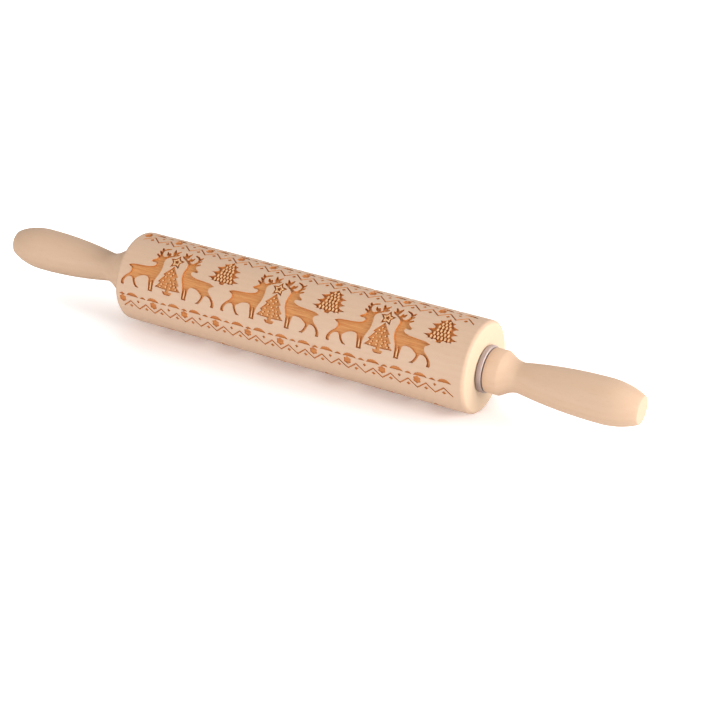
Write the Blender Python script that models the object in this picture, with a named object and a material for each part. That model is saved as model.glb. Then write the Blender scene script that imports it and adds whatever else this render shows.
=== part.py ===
"""Embossed rolling pin: a beech barrel with an engraved frieze, turning on two
ball bearings around a steel rod that joins the two turned handles.

X runs along the pin, Z is up, and the barrel's lowest line lies on z = 0.
The camera side of the frieze faces -Y.
"""
import math

import bmesh
import bpy
from mathutils import Vector
from mathutils.geometry import delaunay_2d_cdt

# Overall sizes in metres, which with the end rings make a pin 350 mm long
barrel_length = 0.195
barrel_diameter = 0.045
barrel_edge_radius = 0.0022
handle_length = 0.0743

# Clearances
seat_gap = 0.0003
rod_play = 0.001

# Steel rod
rod_radius = 0.003
rod_grip_depth = 0.0425
rod_chamfer = 0.0008

# Ball bearing, one at each end of the barrel
bearing_outer_radius = 0.0095
bearing_width = 0.006
bearing_recess = 0.0006
ball_count = 7
ball_radius = 0.0015
inner_land_radius = 0.0052
outer_land_radius = 0.0073
race_chamfer = 0.0003
shield_thickness = 0.0003
shield_inset = 0.00015
cage_depth = 0.0031
cage_finger_width = 0.0015

# Retaining clip on the rod, behind each bearing
clip_thickness = 0.0008
clip_width = 0.0018
clip_groove_depth = 0.0005
clip_opening_degrees = 50.0
clip_pocket_radius = 0.0072
clip_pocket_depth = 0.002

# Steel ring between the barrel and each handle
end_ring_radius = 0.0114
end_ring_thickness = 0.0026
end_ring_rim_radius = 0.0010
end_ring_boss_wall = 0.0013

# Brass insert that takes the rod's thread inside each handle
insert_wall = 0.0012
insert_length = 0.012
insert_knurl_depth = 0.00025
insert_knurl_count = 12

# Turned handle
collar_radius = 0.0107
collar_length = 0.0065
collar_edge_radius = 0.0006
neck_radius = 0.0073
neck_place_share = 0.205
neck_draw_share = 0.65
grip_radius = 0.0108
grip_place_share = 0.766
grip_swell_share = 0.56
handle_end_radius = 0.0066
end_round_share = 0.7

# Engraved frieze
engraving_depth = 0.0012
row_foot_arc = 0.02953
upper_row_pitch = 0.0389
lower_row_pitch = 0.0490
unit_pitch = 0.05915
figure_shift = -0.0022
deer_width = 0.0267
deer_height = 0.0249
deer_axis_gap = 0.0010
tree_width = 0.0150
tree_height = 0.0152
star_radius = 0.0042
star_height = 0.0177
fir_width = 0.0175
fir_height = 0.0145
fir_foot = 0.0122
fir_offset = 0.0285
zigzag_pitch = 0.00922
zigzag_drop = 0.0076
zigzag_height = 0.0048
zigzag_stroke = 0.0009
frieze_end_margin = 0.0012
seam_margin = 0.006

# Outlines as shares of a motif's width and height, from its lower left corner
deer_outline_shares = [
    (0.00, 0.00), (0.08, 0.00), (0.11, 0.12), (0.235, 0.19), (0.26, 0.10), (0.33, 0.00),
    (0.40, 0.00), (0.33, 0.14), (0.39, 0.25), (0.58, 0.27), (0.61, 0.00), (0.70, 0.00),
    (0.72, 0.27), (0.80, 0.45), (0.79, 0.62), (0.76, 0.70), (0.86, 0.77), (0.96, 0.92),
    (0.87, 0.87), (0.86, 1.00), (0.80, 0.84), (0.69, 0.74), (0.63, 0.82), (0.66, 0.89),
    (0.75, 0.95), (0.62, 0.95), (0.56, 0.84), (0.61, 0.70), (0.52, 0.60), (0.64, 0.57),
    (0.57, 0.47), (0.25, 0.44), (0.10, 0.41), (0.18, 0.34), (0.17, 0.26), (0.04, 0.15)]
# Half outlines from the top down, across as shares of the half width
tree_half_shares = [
    (0.00, 1.00), (0.58, 0.66), (0.44, 0.62), (0.82, 0.40), (0.62, 0.36), (1.00, 0.19),
    (0.14, 0.18), (0.14, 0.11), (0.36, 0.11), (0.30, 0.00)]
fir_half_shares = [
    (0.00, 1.00), (0.50, 0.81), (0.34, 0.74), (0.76, 0.59), (0.52, 0.53), (0.87, 0.39),
    (0.66, 0.31), (1.00, 0.18), (0.62, 0.11), (0.16, 0.09), (0.12, 0.00)]
star_waist_share = 0.45
star_tips = 5

# Fineness of the solids
facet_count = 32
edge_steps = 3
rim_steps = 2
groove_steps = 3
cage_steps = 3
fine_steps = 28
small_steps = 16
neck_steps = 4
grip_steps = 8
end_steps = 6
ball_subdivision_count = 2
smooth_degrees = 35.0
merge_distance = 1e-7
snap_share = 0.0003

# Places worked out from the sizes above
barrel_radius = barrel_diameter / 2
barrel_half = barrel_length / 2
straight_half = barrel_half - barrel_edge_radius
circumference = 2 * math.pi * barrel_radius
facet_pitch = circumference / facet_count
axis_height = barrel_radius
rod_hole_radius = rod_radius + seat_gap
bearing_face = barrel_half - bearing_recess
bearing_back = bearing_face - bearing_width
bearing_middle = bearing_face - bearing_width / 2
ball_pitch_radius = (inner_land_radius + outer_land_radius) / 2
bearing_seat_radius = bearing_outer_radius + seat_gap
bearing_seat_back = bearing_back - seat_gap
clip_face = bearing_back - seat_gap
clip_back = clip_face - clip_thickness
clip_inner_radius = rod_radius - clip_groove_depth + seat_gap
end_ring_back = barrel_half + seat_gap
end_ring_face = end_ring_back + end_ring_thickness
handle_start = end_ring_face + seat_gap
pin_half = handle_start + handle_length
handle_hole_end = handle_start + rod_grip_depth + seat_gap
insert_start = handle_start + seat_gap
insert_end = insert_start + insert_length
insert_radius = rod_hole_radius + insert_wall
insert_hole_radius = insert_radius + seat_gap
rod_half = handle_start + rod_grip_depth


def clear_scene():
    for old in list(bpy.data.objects):
        bpy.data.objects.remove(old, do_unlink=True)


def make_material(name, colour, roughness, metallic=0.0):
    material = bpy.data.materials.new(name)
    material.use_nodes = True
    shader = material.node_tree.nodes["Principled BSDF"]
    shader.inputs["Base Color"].default_value = (*colour, 1.0)
    shader.inputs["Roughness"].default_value = roughness
    shader.inputs["Metallic"].default_value = metallic
    return material


def make_object(name, bm, colour, roughness, metallic=0.0):
    """Close the mesh, turn its faces outward and place it on the pin's axis."""
    bmesh.ops.remove_doubles(bm, verts=bm.verts, dist=merge_distance)
    bmesh.ops.recalc_face_normals(bm, faces=bm.faces)
    mesh = bpy.data.meshes.new(name)
    bm.to_mesh(mesh)
    bm.free()
    mesh.shade_smooth()
    mesh.set_sharp_from_angle(angle=math.radians(smooth_degrees))
    mesh.materials.append(make_material(name, colour, roughness, metallic))
    piece = bpy.data.objects.new(name, mesh)
    piece.location = (0.0, 0.0, axis_height)
    bpy.context.collection.objects.link(piece)
    return piece


def spin_profile(profile, side, segments):
    """Turn a closed profile of (place along the pin, radius) about the pin's axis."""
    bm = bmesh.new()
    corners = [bm.verts.new((side * along, 0.0, radius)) for along, radius in profile]
    rim = [bm.edges.new((corners[i - 1], corners[i])) for i in range(len(corners))
           if profile[i - 1][1] > 0.0 or profile[i][1] > 0.0]
    bmesh.ops.spin(bm, geom=corners + rim, cent=(0.0, 0.0, 0.0), axis=(1.0, 0.0, 0.0),
                   angle=2 * math.pi, steps=segments, use_merge=True)
    bmesh.ops.remove_doubles(bm, verts=bm.verts, dist=merge_distance)
    return bm


def close_rings(bm, rings):
    """Join each closed ring of points to the next, and the last to the first."""
    for r, ring in enumerate(rings):
        before = rings[r - 1]
        for i in range(len(ring)):
            bm.faces.new([before[i - 1], before[i], ring[i], ring[i - 1]])


def arc_points(centre, radius, start_degrees, end_degrees, steps):
    """Points of an arc in the profile plane, both ends included."""
    points = []
    for step in range(steps + 1):
        angle = math.radians(start_degrees + (end_degrees - start_degrees) * step / steps)
        points.append((centre[0] + radius * math.cos(angle), centre[1] + radius * math.sin(angle)))
    return points


def ease(share):
    return share * share * (3 - 2 * share)


# Engraved barrel

def facet_point(along, arc, radius):
    """A point on flat facets whose middles touch the round of this radius.

    The arc is measured from the top of the barrel towards -Y. The lowest facet lies flat
    on the surface below, so the barrel rests on it.
    """
    angle = arc / barrel_radius
    middle = facet_pitch * round(arc / facet_pitch) / barrel_radius
    reach = radius / math.cos(angle - middle)
    return Vector((along, -reach * math.sin(angle), reach * math.cos(angle)))


def place_outline(shares, width, height, along, foot, side=1):
    return [(along + side * width * across, foot - height * up) for across, up in shares]


def place_half_outline(shares, width, height, along, foot):
    right = [(along + across * width / 2, foot - height * up) for across, up in shares]
    left = [(along - across * width / 2, foot - height * up) for across, up in shares
            if across > 0]
    return right + left[::-1]


def counterclockwise(outline):
    """The same outline, listed so that its inside lies to the left."""
    doubled = sum(a[0] * b[1] - b[0] * a[1] for a, b in zip(outline, outline[1:] + outline[:1]))
    return outline if doubled > 0 else outline[::-1]


def star_outline(along, middle):
    points = []
    for tip in range(2 * star_tips):
        radius = star_radius if tip % 2 == 0 else star_radius * star_waist_share
        angle = math.pi * tip / star_tips
        points.append((along + radius * math.sin(angle), middle - radius * math.cos(angle)))
    return points


def zigzag_outline(start, count, top):
    """One long stroke that runs up and down along the barrel."""
    upper = []
    lower = []
    half = zigzag_stroke / 2
    for step in range(2 * count + 1):
        along = start + zigzag_pitch / 2 * step
        arc = top + (zigzag_height - half if step % 2 == 0 else half)
        upper.append((along, arc - half))
        lower.append((along, arc + half))
    return upper + lower[::-1]


def frieze_rows():
    """The foot line of each deer row: on the camera side, above it, and the lower one behind.

    The lower row starts just under the lower outline, as seen from the camera. It is left
    out where the barrel is too thin for three rows.
    """
    upper_row = row_foot_arc - upper_row_pitch
    lower_row = row_foot_arc + lower_row_pitch - circumference
    room = upper_row - fir_foot - fir_height - (lower_row + zigzag_drop + zigzag_height)
    if room < seam_margin:
        return [row_foot_arc, upper_row]
    return [row_foot_arc, upper_row, lower_row]


def frieze_outlines():
    rows = frieze_rows()
    deer_reach = deer_axis_gap + deer_width
    unit_span = deer_reach + fir_offset + fir_width / 2
    count = 1 + int((2 * straight_half - unit_span) // unit_pitch)
    start = figure_shift + deer_reach - (unit_span + unit_pitch * (count - 1)) / 2
    outlines = []
    for foot in rows:
        for unit in range(count):
            middle = start + unit_pitch * unit
            for side in (-1, 1):
                edge = middle + side * deer_reach
                outlines.append(place_outline(deer_outline_shares, deer_width, deer_height,
                                              edge, foot, -side))
            outlines.append(place_half_outline(tree_half_shares, tree_width, tree_height,
                                               middle, foot))
            outlines.append(star_outline(middle, foot - star_height))
            outlines.append(place_half_outline(fir_half_shares, fir_width, fir_height,
                                               middle + fir_offset, foot - fir_foot))
    zigzags = int((2 * straight_half - 2 * frieze_end_margin) // zigzag_pitch)
    for foot in rows:
        outlines.append(zigzag_outline(-zigzag_pitch * zigzags / 2, zigzags, foot + zigzag_drop))
    return outlines


def facet_arcs():
    """The lines between the facets, once round from the plain strip below the lowest band."""
    strip_start = row_foot_arc + zigzag_drop + zigzag_height + zigzag_stroke / 2
    last = facet_pitch * (math.ceil(strip_start / facet_pitch) + 0.5)
    return [last - circumference + facet_pitch * step for step in range(facet_count + 1)]


def barrel_end_profile():
    """From the rounded edge over the end face and down to the through bore."""
    edge_centre = (straight_half, barrel_radius - barrel_edge_radius)
    edge = arc_points(edge_centre, barrel_edge_radius, 90, 0, edge_steps)
    bore = rod_radius + rod_play
    pocket_back = bearing_seat_back - clip_pocket_depth
    return edge + [(barrel_half, bearing_seat_radius), (bearing_seat_back, bearing_seat_radius),
                   (bearing_seat_back, clip_pocket_radius), (pocket_back, clip_pocket_radius),
                   (pocket_back, bore)]


def triangulate_frieze(outlines, arcs):
    """Cut the unrolled barrel skin along every outline and facet line."""
    points = []
    edges = []
    faces = []
    for arc in arcs:
        points += [Vector((-straight_half, arc)), Vector((straight_half, arc))]
        edges.append((len(points) - 2, len(points) - 1))
    for side in (0, 1):
        edges += [(2 * i + side, 2 * i + 2 + side) for i in range(len(arcs) - 1)]
    for outline in outlines:
        first = len(points)
        points += [Vector(point) for point in counterclockwise(outline)]
        faces.append(list(range(first, len(points))))
    scaled = [point / barrel_diameter for point in points]
    result = delaunay_2d_cdt(scaled, edges, faces, 0, snap_share)
    flat_points = [point * barrel_diameter for point in result[0]]
    return flat_points, result[2], result[5]


def make_barrel():
    arcs = facet_arcs()
    flat_points, triangles, sources = triangulate_frieze(frieze_outlines(), arcs)
    bm = bmesh.new()
    skin = [bm.verts.new(facet_point(p.x, p.y, barrel_radius)) for p in flat_points]
    floor_radius = barrel_radius - engraving_depth
    floors = {}
    engraved = {}
    for triangle, source in zip(triangles, sources):
        for i in range(len(triangle)):
            engraved[(triangle[i - 1], triangle[i])] = len(source) > 0
        for corner in triangle:
            if source and corner not in floors:
                flat = flat_points[corner]
                floors[corner] = bm.verts.new(facet_point(flat.x, flat.y, floor_radius))
    for triangle, source in zip(triangles, sources):
        ring = floors if source else skin
        bm.faces.new([ring[corner] for corner in triangle])
    for (a, b), inside in engraved.items():
        if inside and not engraved.get((b, a), True):
            bm.faces.new([floors[b], floors[a], skin[a], skin[b]])
    loose = [vert for vert in bm.verts if not vert.link_faces]
    bmesh.ops.delete(bm, geom=loose, context="VERTS")
    for side in (-1, 1):
        add_barrel_end(bm, side, arcs)
    add_bore(bm, arcs)
    return make_object("barrel", bm, (0.74, 0.50, 0.33), 0.62)


def ring_of(bm, along, radius, arcs):
    return [bm.verts.new(facet_point(along, arc, radius)) for arc in arcs]


def bridge(bm, first, second):
    for i in range(len(first) - 1):
        bm.faces.new([first[i], first[i + 1], second[i + 1], second[i]])


def add_barrel_end(bm, side, arcs):
    rings = [ring_of(bm, side * along, radius, arcs) for along, radius in barrel_end_profile()]
    for i in range(len(rings) - 1):
        bridge(bm, rings[i], rings[i + 1])


def add_bore(bm, arcs):
    along, radius = barrel_end_profile()[-1]
    bridge(bm, ring_of(bm, -along, radius, arcs), ring_of(bm, along, radius, arcs))


# Steel rod with a groove for each clip

def make_rod():
    groove_radius = rod_radius - clip_groove_depth
    groove_back = clip_back - seat_gap
    groove_face = clip_face + seat_gap
    right = [(groove_back, rod_radius), (groove_back, groove_radius), (groove_face, groove_radius),
             (groove_face, rod_radius), (rod_half - rod_chamfer, rod_radius),
             (rod_half, rod_radius - rod_chamfer), (rod_half, 0.0)]
    left = [(-along, radius) for along, radius in right[::-1]]
    bm = spin_profile(left + right, 1, small_steps)
    return make_object("axle_rod", bm, (0.60, 0.60, 0.61), 0.30, 1.0)


# Ball bearings

def race_groove(land_radius, wall):
    """The ball groove, from the bearing's back to its face; wall is 1 outside the balls."""
    groove_radius = ball_radius + seat_gap
    reach = abs(ball_pitch_radius - land_radius)
    half_angle = math.degrees(math.acos(reach / groove_radius))
    return arc_points((bearing_middle, ball_pitch_radius), groove_radius,
                      wall * (90 + half_angle), wall * (90 - half_angle), groove_steps)


def make_outer_race(side, name):
    c = race_chamfer
    outer = bearing_outer_radius
    profile = [(bearing_back, outer - c), (bearing_back + c, outer), (bearing_face - c, outer),
               (bearing_face, outer - c), (bearing_face, outer_land_radius)]
    profile += race_groove(outer_land_radius, 1)[::-1]
    profile.append((bearing_back, outer_land_radius))
    bm = spin_profile(profile, side, fine_steps)
    return make_object(name, bm, (0.62, 0.62, 0.64), 0.22, 1.0)


def make_inner_race(side, name):
    c = race_chamfer
    profile = [(bearing_face, inner_land_radius), (bearing_face, rod_hole_radius + c),
               (bearing_face - c, rod_hole_radius), (bearing_back + c, rod_hole_radius),
               (bearing_back, rod_hole_radius + c), (bearing_back, inner_land_radius)]
    profile += race_groove(inner_land_radius, -1)
    bm = spin_profile(profile, side, small_steps)
    return make_object(name, bm, (0.62, 0.62, 0.64), 0.22, 1.0)


def make_ball(side, name, ball):
    """One steel ball at its place round the pitch circle."""
    bm = bmesh.new()
    bmesh.ops.create_icosphere(bm, subdivisions=ball_subdivision_count, radius=ball_radius)
    angle = 2 * math.pi * ball / ball_count
    place = Vector((side * bearing_middle, -ball_pitch_radius * math.sin(angle),
                    ball_pitch_radius * math.cos(angle)))
    bmesh.ops.translate(bm, verts=bm.verts, vec=place)
    return make_object(name, bm, (0.70, 0.70, 0.72), 0.12, 1.0)


def make_cage(side, name):
    """A crown: a ring behind the balls with fingers that stand between them."""
    inner = inner_land_radius + seat_gap
    outer = outer_land_radius - seat_gap
    back = bearing_back + shield_inset + shield_thickness + seat_gap
    web = bearing_middle - ball_radius - seat_gap
    tip = back + cage_depth
    pitch = 2 * math.pi / ball_count
    pocket = pitch - cage_finger_width / ball_pitch_radius
    shape = []
    for ball in range(ball_count):
        first = pitch * ball - pocket / 2
        shape.append((first, tip))
        shape += [(first + pocket * step / cage_steps, web) for step in range(cage_steps + 1)]
        shape.append((first + pocket, tip))
    bm = bmesh.new()
    rings = []
    for radius, raised in ((inner, False), (inner, True), (outer, True), (outer, False)):
        rings.append([bm.verts.new((side * (height if raised else back),
                                    radius * math.sin(angle), radius * math.cos(angle)))
                      for angle, height in shape])
    close_rings(bm, rings)
    return make_object(name, bm, (0.72, 0.60, 0.36), 0.35, 1.0)


def make_shield(side, name, outward):
    """A thin washer that closes the bearing on its outer or inner face."""
    if outward:
        face = bearing_face - shield_inset
    else:
        face = bearing_back + shield_inset + shield_thickness
    back = face - shield_thickness
    inner = inner_land_radius + seat_gap
    outer = outer_land_radius - seat_gap
    bm = spin_profile([(back, inner), (back, outer), (face, outer), (face, inner)], side,
                      small_steps)
    return make_object(name, bm, (0.55, 0.55, 0.57), 0.35, 1.0)


# Clips, rings and inserts

def make_clip(side, name):
    """An open ring that snaps into the rod's groove."""
    bm = bmesh.new()
    opening = math.radians(clip_opening_degrees)
    outer = clip_inner_radius + clip_width
    outline = []
    for radius, order in ((clip_inner_radius, 1), (outer, -1)):
        row = []
        for step in range(small_steps + 1):
            angle = opening / 2 + (2 * math.pi - opening) * step / small_steps
            row.append((radius * math.sin(angle), radius * math.cos(angle)))
        outline += row[::order]
    face = bm.faces.new([bm.verts.new((side * clip_back, y, z)) for y, z in outline])
    made = bmesh.ops.extrude_face_region(bm, geom=[face])
    moved = [item for item in made["geom"] if isinstance(item, bmesh.types.BMVert)]
    bmesh.ops.translate(bm, verts=moved, vec=(side * clip_thickness, 0.0, 0.0))
    return make_object(name, bm, (0.35, 0.35, 0.37), 0.40, 1.0)


def make_end_ring(side, name):
    """The satin steel ring seen between the barrel and the handle."""
    rim = end_ring_rim_radius
    top = end_ring_radius - rim
    boss_radius = rod_hole_radius + end_ring_boss_wall
    boss_back = bearing_face + seat_gap
    profile = [(boss_back, rod_hole_radius), (boss_back, boss_radius),
               (end_ring_back, boss_radius), (end_ring_back, top)]
    profile += arc_points((end_ring_back + rim, top), rim, 180, 90, rim_steps)[1:]
    profile += arc_points((end_ring_face - rim, top), rim, 90, 0, rim_steps)[1:]
    profile.append((end_ring_face, rod_hole_radius))
    bm = spin_profile(profile, side, fine_steps)
    return make_object(name, bm, (0.52, 0.49, 0.47), 0.38, 1.0)


def make_insert(side, name):
    """A brass sleeve with a knurled outside, held in the handle's socket."""
    bm = bmesh.new()
    points = 2 * insert_knurl_count
    rings = []
    for along, knurled in ((insert_start, False), (insert_start, True), (insert_end, True),
                           (insert_end, False)):
        ring = []
        for step in range(points):
            radius = insert_radius - (insert_knurl_depth if step % 2 else 0.0)
            radius = radius if knurled else rod_hole_radius
            angle = 2 * math.pi * step / points
            ring.append(bm.verts.new((side * along, radius * math.sin(angle),
                                      radius * math.cos(angle))))
        rings.append(ring)
    close_rings(bm, rings)
    return make_object(name, bm, (0.78, 0.58, 0.26), 0.35, 1.0)


# Turned handles

def handle_outside():
    """Collar, neck, swelling grip and flat end, as (place from the collar face, radius)."""
    neck_place = handle_length * neck_place_share
    grip_place = handle_length * grip_place_share
    points = arc_points((collar_edge_radius, collar_radius - collar_edge_radius),
                        collar_edge_radius, 180, 90, rim_steps)
    for step in range(neck_steps):
        share = step / neck_steps
        points.append((collar_length + (neck_place - collar_length) * share,
                       collar_radius + (neck_radius - collar_radius) * ease(share ** neck_draw_share)))
    for step in range(grip_steps):
        share = step / grip_steps
        points.append((neck_place + (grip_place - neck_place) * share,
                       neck_radius + (grip_radius - neck_radius) * ease(share ** grip_swell_share)))
    for step in range(end_steps + 1):
        share = math.sin(math.pi / 2 * step / end_steps)
        points.append((grip_place + (handle_length - grip_place) * share,
                       handle_end_radius + (grip_radius - handle_end_radius)
                       * (1 - share * share) ** end_round_share))
    return points


def make_handle(side, name):
    inside = [(pin_half, 0.0), (handle_hole_end, 0.0), (handle_hole_end, rod_hole_radius),
              (insert_end + seat_gap, rod_hole_radius), (insert_end + seat_gap, insert_hole_radius),
              (handle_start, insert_hole_radius)]
    outside = [(handle_start + along, radius) for along, radius in handle_outside()]
    bm = spin_profile(outside + inside, side, fine_steps)
    return make_object(name, bm, (0.75, 0.51, 0.34), 0.58)


def make_empty(name, along):
    marker = bpy.data.objects.new(name, None)
    marker.location = (along, 0.0, axis_height)
    bpy.context.collection.objects.link(marker)
    return marker


def ride_on(marker, piece):
    bpy.context.view_layer.update()
    world = piece.matrix_world.copy()
    piece.parent = marker
    piece.matrix_parent_inverse = marker.matrix_world.inverted()
    piece.matrix_world = world


def build():
    clear_scene()
    barrel_set = make_empty("barrel_set", 0.0)
    handle_set = make_empty("handle_set", 0.0)
    ride_on(barrel_set, make_barrel())
    ride_on(handle_set, make_rod())
    for side, word in ((-1, "left"), (1, "right")):
        ball_set = make_empty(word + "_ball_set", side * bearing_middle)
        ride_on(barrel_set, make_outer_race(side, word + "_bearing_outer_race"))
        ride_on(barrel_set, make_shield(side, word + "_bearing_outer_shield", True))
        ride_on(barrel_set, make_shield(side, word + "_bearing_inner_shield", False))
        ride_on(handle_set, make_inner_race(side, word + "_bearing_inner_race"))
        for ball in range(ball_count):
            ride_on(ball_set, make_ball(side, f"{word}_bearing_ball_{ball + 1}", ball))
        ride_on(ball_set, make_cage(side, word + "_bearing_cage"))
        ride_on(handle_set, make_clip(side, word + "_retaining_clip"))
        ride_on(handle_set, make_end_ring(side, word + "_end_ring"))
        ride_on(handle_set, make_insert(side, word + "_thread_insert"))
        ride_on(handle_set, make_handle(side, word + "_handle"))


build()
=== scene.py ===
# %% [markdown]
# Embossed rolling pin
#
# This is a rolling pin for printed biscuits: a beech barrel with a frieze cut into it, which
# turns on two small ball bearings between two turned handles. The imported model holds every
# piece at its real size, as plain solids. This lesson dresses it. The pieces that show are
# made again with more detail, exactly where the solids are, and every piece that stays gets
# the finish of what it is made of.

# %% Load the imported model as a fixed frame
import math

import bmesh
import bpy
from mathutils import Matrix, Vector
from mathutils.geometry import delaunay_2d_cdt


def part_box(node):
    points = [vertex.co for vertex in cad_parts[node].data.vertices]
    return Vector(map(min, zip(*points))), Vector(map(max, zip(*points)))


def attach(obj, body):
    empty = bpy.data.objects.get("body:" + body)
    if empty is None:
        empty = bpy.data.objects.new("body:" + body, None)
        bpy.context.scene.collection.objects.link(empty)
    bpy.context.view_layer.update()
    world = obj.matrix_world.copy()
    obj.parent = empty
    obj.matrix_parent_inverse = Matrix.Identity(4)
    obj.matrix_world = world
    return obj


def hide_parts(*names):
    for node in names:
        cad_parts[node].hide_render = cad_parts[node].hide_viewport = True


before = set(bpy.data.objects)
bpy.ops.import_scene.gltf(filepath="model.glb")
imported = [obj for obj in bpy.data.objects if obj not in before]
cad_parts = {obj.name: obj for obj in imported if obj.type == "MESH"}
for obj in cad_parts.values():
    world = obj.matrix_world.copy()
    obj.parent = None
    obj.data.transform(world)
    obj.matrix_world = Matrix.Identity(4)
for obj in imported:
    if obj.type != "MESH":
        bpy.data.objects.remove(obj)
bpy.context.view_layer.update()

# %% [markdown]
# Sizes from the frame
#
# A dressed piece has to sit where its solid sits, so its sizes are read from the boxes of the
# solids and not typed again. A box is the smallest upright block round a piece. For a round
# piece on the pin's axis, half its height is its radius.

# %% Read sizes from the boxes of the solids
barrel_low, barrel_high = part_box("barrel")
barrel_half = barrel_high.x
barrel_radius = (barrel_high.z - barrel_low.z) / 2
axis_height = (barrel_high.z + barrel_low.z) / 2


def turned_sizes(node):
    """Start and end along the axis, and the largest radius, of a round piece."""
    low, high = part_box(node)
    return low.x, high.x, (high.z - low.z) / 2


ring_start, ring_end, ring_radius = turned_sizes("right_end_ring")
handle_start, handle_end, grip_radius = turned_sizes("right_handle")
race_start, race_radius = turned_sizes("right_bearing_outer_race")[::2]
clip_start, clip_radius = turned_sizes("right_retaining_clip")[::2]
insert_end, insert_radius = turned_sizes("right_thread_insert")[1:]
rod_end, rod_radius = turned_sizes("axle_rod")[1:]
seat_gap = 0.0003
print(f"barrel {2000 * barrel_half:.0f} mm long and {2000 * barrel_radius:.0f} mm thick")

# %% [markdown]
# The camera
#
# The photograph looks down on the pin from its right, with the near handle towards the lower
# right corner. The camera's place and lens were found by matching the barrel's outline, its two
# end discs and the handle tips. The lens is fairly long, so the near handle is only a little
# larger than the far one.

# %% Place the camera
lens_length = 90.342
sensor_width = 36.0
camera_place = Vector((0.4080, -0.6602, 0.4316))
camera_right = Vector((0.8683, 0.4960, 0.0)).normalized()
camera_forward = Vector((-0.4333, 0.7587, -0.4864)).normalized()
camera_up = camera_right.cross(camera_forward)

camera_data = bpy.data.cameras.new("studio_camera")
camera_data.lens = lens_length
camera_data.sensor_width = sensor_width
camera = bpy.data.objects.new("studio_camera", camera_data)
turn = Matrix((camera_right, camera_up, -camera_forward)).transposed()
camera.matrix_world = Matrix.Translation(camera_place) @ turn.to_4x4()
bpy.context.scene.collection.objects.link(camera)
bpy.context.scene.camera = camera
print(f"camera {1000 * (camera_place - Vector((0, 0, axis_height))).length:.0f} mm from the pin")

# %% [markdown]
# Two helpers for materials
#
# A picture on a screen stores colour as sRGB, written as a hex code, but light adds up in
# linear numbers, so one function turns the first into the second. A material is a tree of
# nodes. The other function adds one node with its settings, and links whichever of its inputs
# are given as the output of another node.

# %% Colour and node helpers


def linear(hex_code):
    """An sRGB hex colour as linear red, green, blue and full alpha."""
    levels = [int(hex_code[i:i + 2], 16) / 255 for i in (1, 3, 5)]
    parts = [c / 12.92 if c <= 0.04045 else ((c + 0.055) / 1.055) ** 2.4 for c in levels]
    return (*parts, 1.0)


def add(tree, kind, inputs=None, **settings):
    """Add a node. An input is a number, a colour, or the output of another node."""
    node = tree.nodes.new(kind)
    for name, value in settings.items():
        setattr(node, name, value)
    for name, value in (inputs or {}).items():
        if isinstance(value, bpy.types.NodeSocket):
            tree.links.new(value, node.inputs[name])
        else:
            node.inputs[name].default_value = value
    return node


def new_material(name):
    """An empty material with its shader, ready for nodes."""
    material = bpy.data.materials.new(name)
    material.use_nodes = True
    tree = material.node_tree
    return material, tree, tree.nodes["Principled BSDF"]


print("sRGB #808080 is", round(linear("#808080")[0], 3), "in linear light")

# %% [markdown]
# Beech, sanded and left bare
#
# Beech is pale and pinkish brown, with a grain so fine that a turned pin looks almost plain
# from a step away. Close up it shows three things. Growth rings run along the pin as soft
# bands. Rays, the wood's little cross walls, are cut as short dark flecks. The surface is
# sanded and dry, so it is matt. All three are functions of the place in the wood, in three
# dimensions, and not a picture wrapped round it. So the flecks on the side become dots on the
# end face by themselves, as they do when a real piece is cut across. Faces that look along the
# pin take an end colour. On the barrel it is paler and yellower than the side, partly as end
# grain and partly as a painted highlight for the light from the right on its end faces.

# %% Sizes of the beech's grain, in metres
ring_pitch = 0.0032
ring_drift = 0.030
fleck_length = 0.0042
fleck_width = 0.00045
streak_length = 0.028
streak_width = 0.0009
pore_length = 0.0016
pore_width = 0.00022
wave_share = 2 * math.pi / 20

# How strongly each feature shows, from 0 to 1
band_strength = 0.15
streak_strength = 0.1
fleck_strength = 0.2
end_strength = 0.85
toast_strength = 0.85


def wood_place(tree, length, width):
    """Coordinates in which one grain feature, of that length and width, is one unit."""
    place = add(tree, "ShaderNodeTexCoord").outputs["Object"]
    return add(tree, "ShaderNodeMapping", {
        "Vector": place, "Scale": (1 / length, 1 / width, 1 / width)}).outputs["Vector"]


def grain_share(tree, length, width, low, high, seed):
    """A noise drawn out along the grain, cut to run from 0 at one level to 1 at another."""
    shift = add(tree, "ShaderNodeVectorMath", {
        0: wood_place(tree, length, width), 1: (seed, 2.3 * seed, 1.7 * seed)})
    noise = add(tree, "ShaderNodeTexNoise", {
        "Vector": shift.outputs["Vector"], "Scale": 1.0, "Detail": 2.0, "Roughness": 0.55})
    return add(tree, "ShaderNodeMapRange", {
        "Value": noise.outputs["Fac"], "From Min": low, "From Max": high}).outputs["Result"]


def ring_share(tree, pith):
    """Growth rings round the tree's pith, which lies outside the pin, as a soft wave."""
    place = add(tree, "ShaderNodeTexCoord").outputs["Object"]
    moved = add(tree, "ShaderNodeMapping", {
        "Vector": place, "Location": pith, "Scale": (0.12, 1.0, 1.0)}).outputs["Vector"]
    return add(tree, "ShaderNodeTexWave", {
        "Vector": moved, "Scale": wave_share / ring_pitch, "Distortion": 2.2,
        "Detail": 2.0, "Detail Scale": ring_pitch / ring_drift},
        wave_type="RINGS", rings_direction="X", wave_profile="SIN").outputs["Fac"]


def blend(tree, share, first, second):
    """One colour where the share is 0 and another where it is 1."""
    return add(tree, "ShaderNodeMix", {0: share, 6: first, 7: second},
               data_type="RGBA").outputs[2]


def scaled(tree, share, amount):
    """A share made weaker, or a number turned into another unit."""
    return add(tree, "ShaderNodeMath", {0: share, 1: amount}, operation="MULTIPLY").outputs[0]


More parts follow.
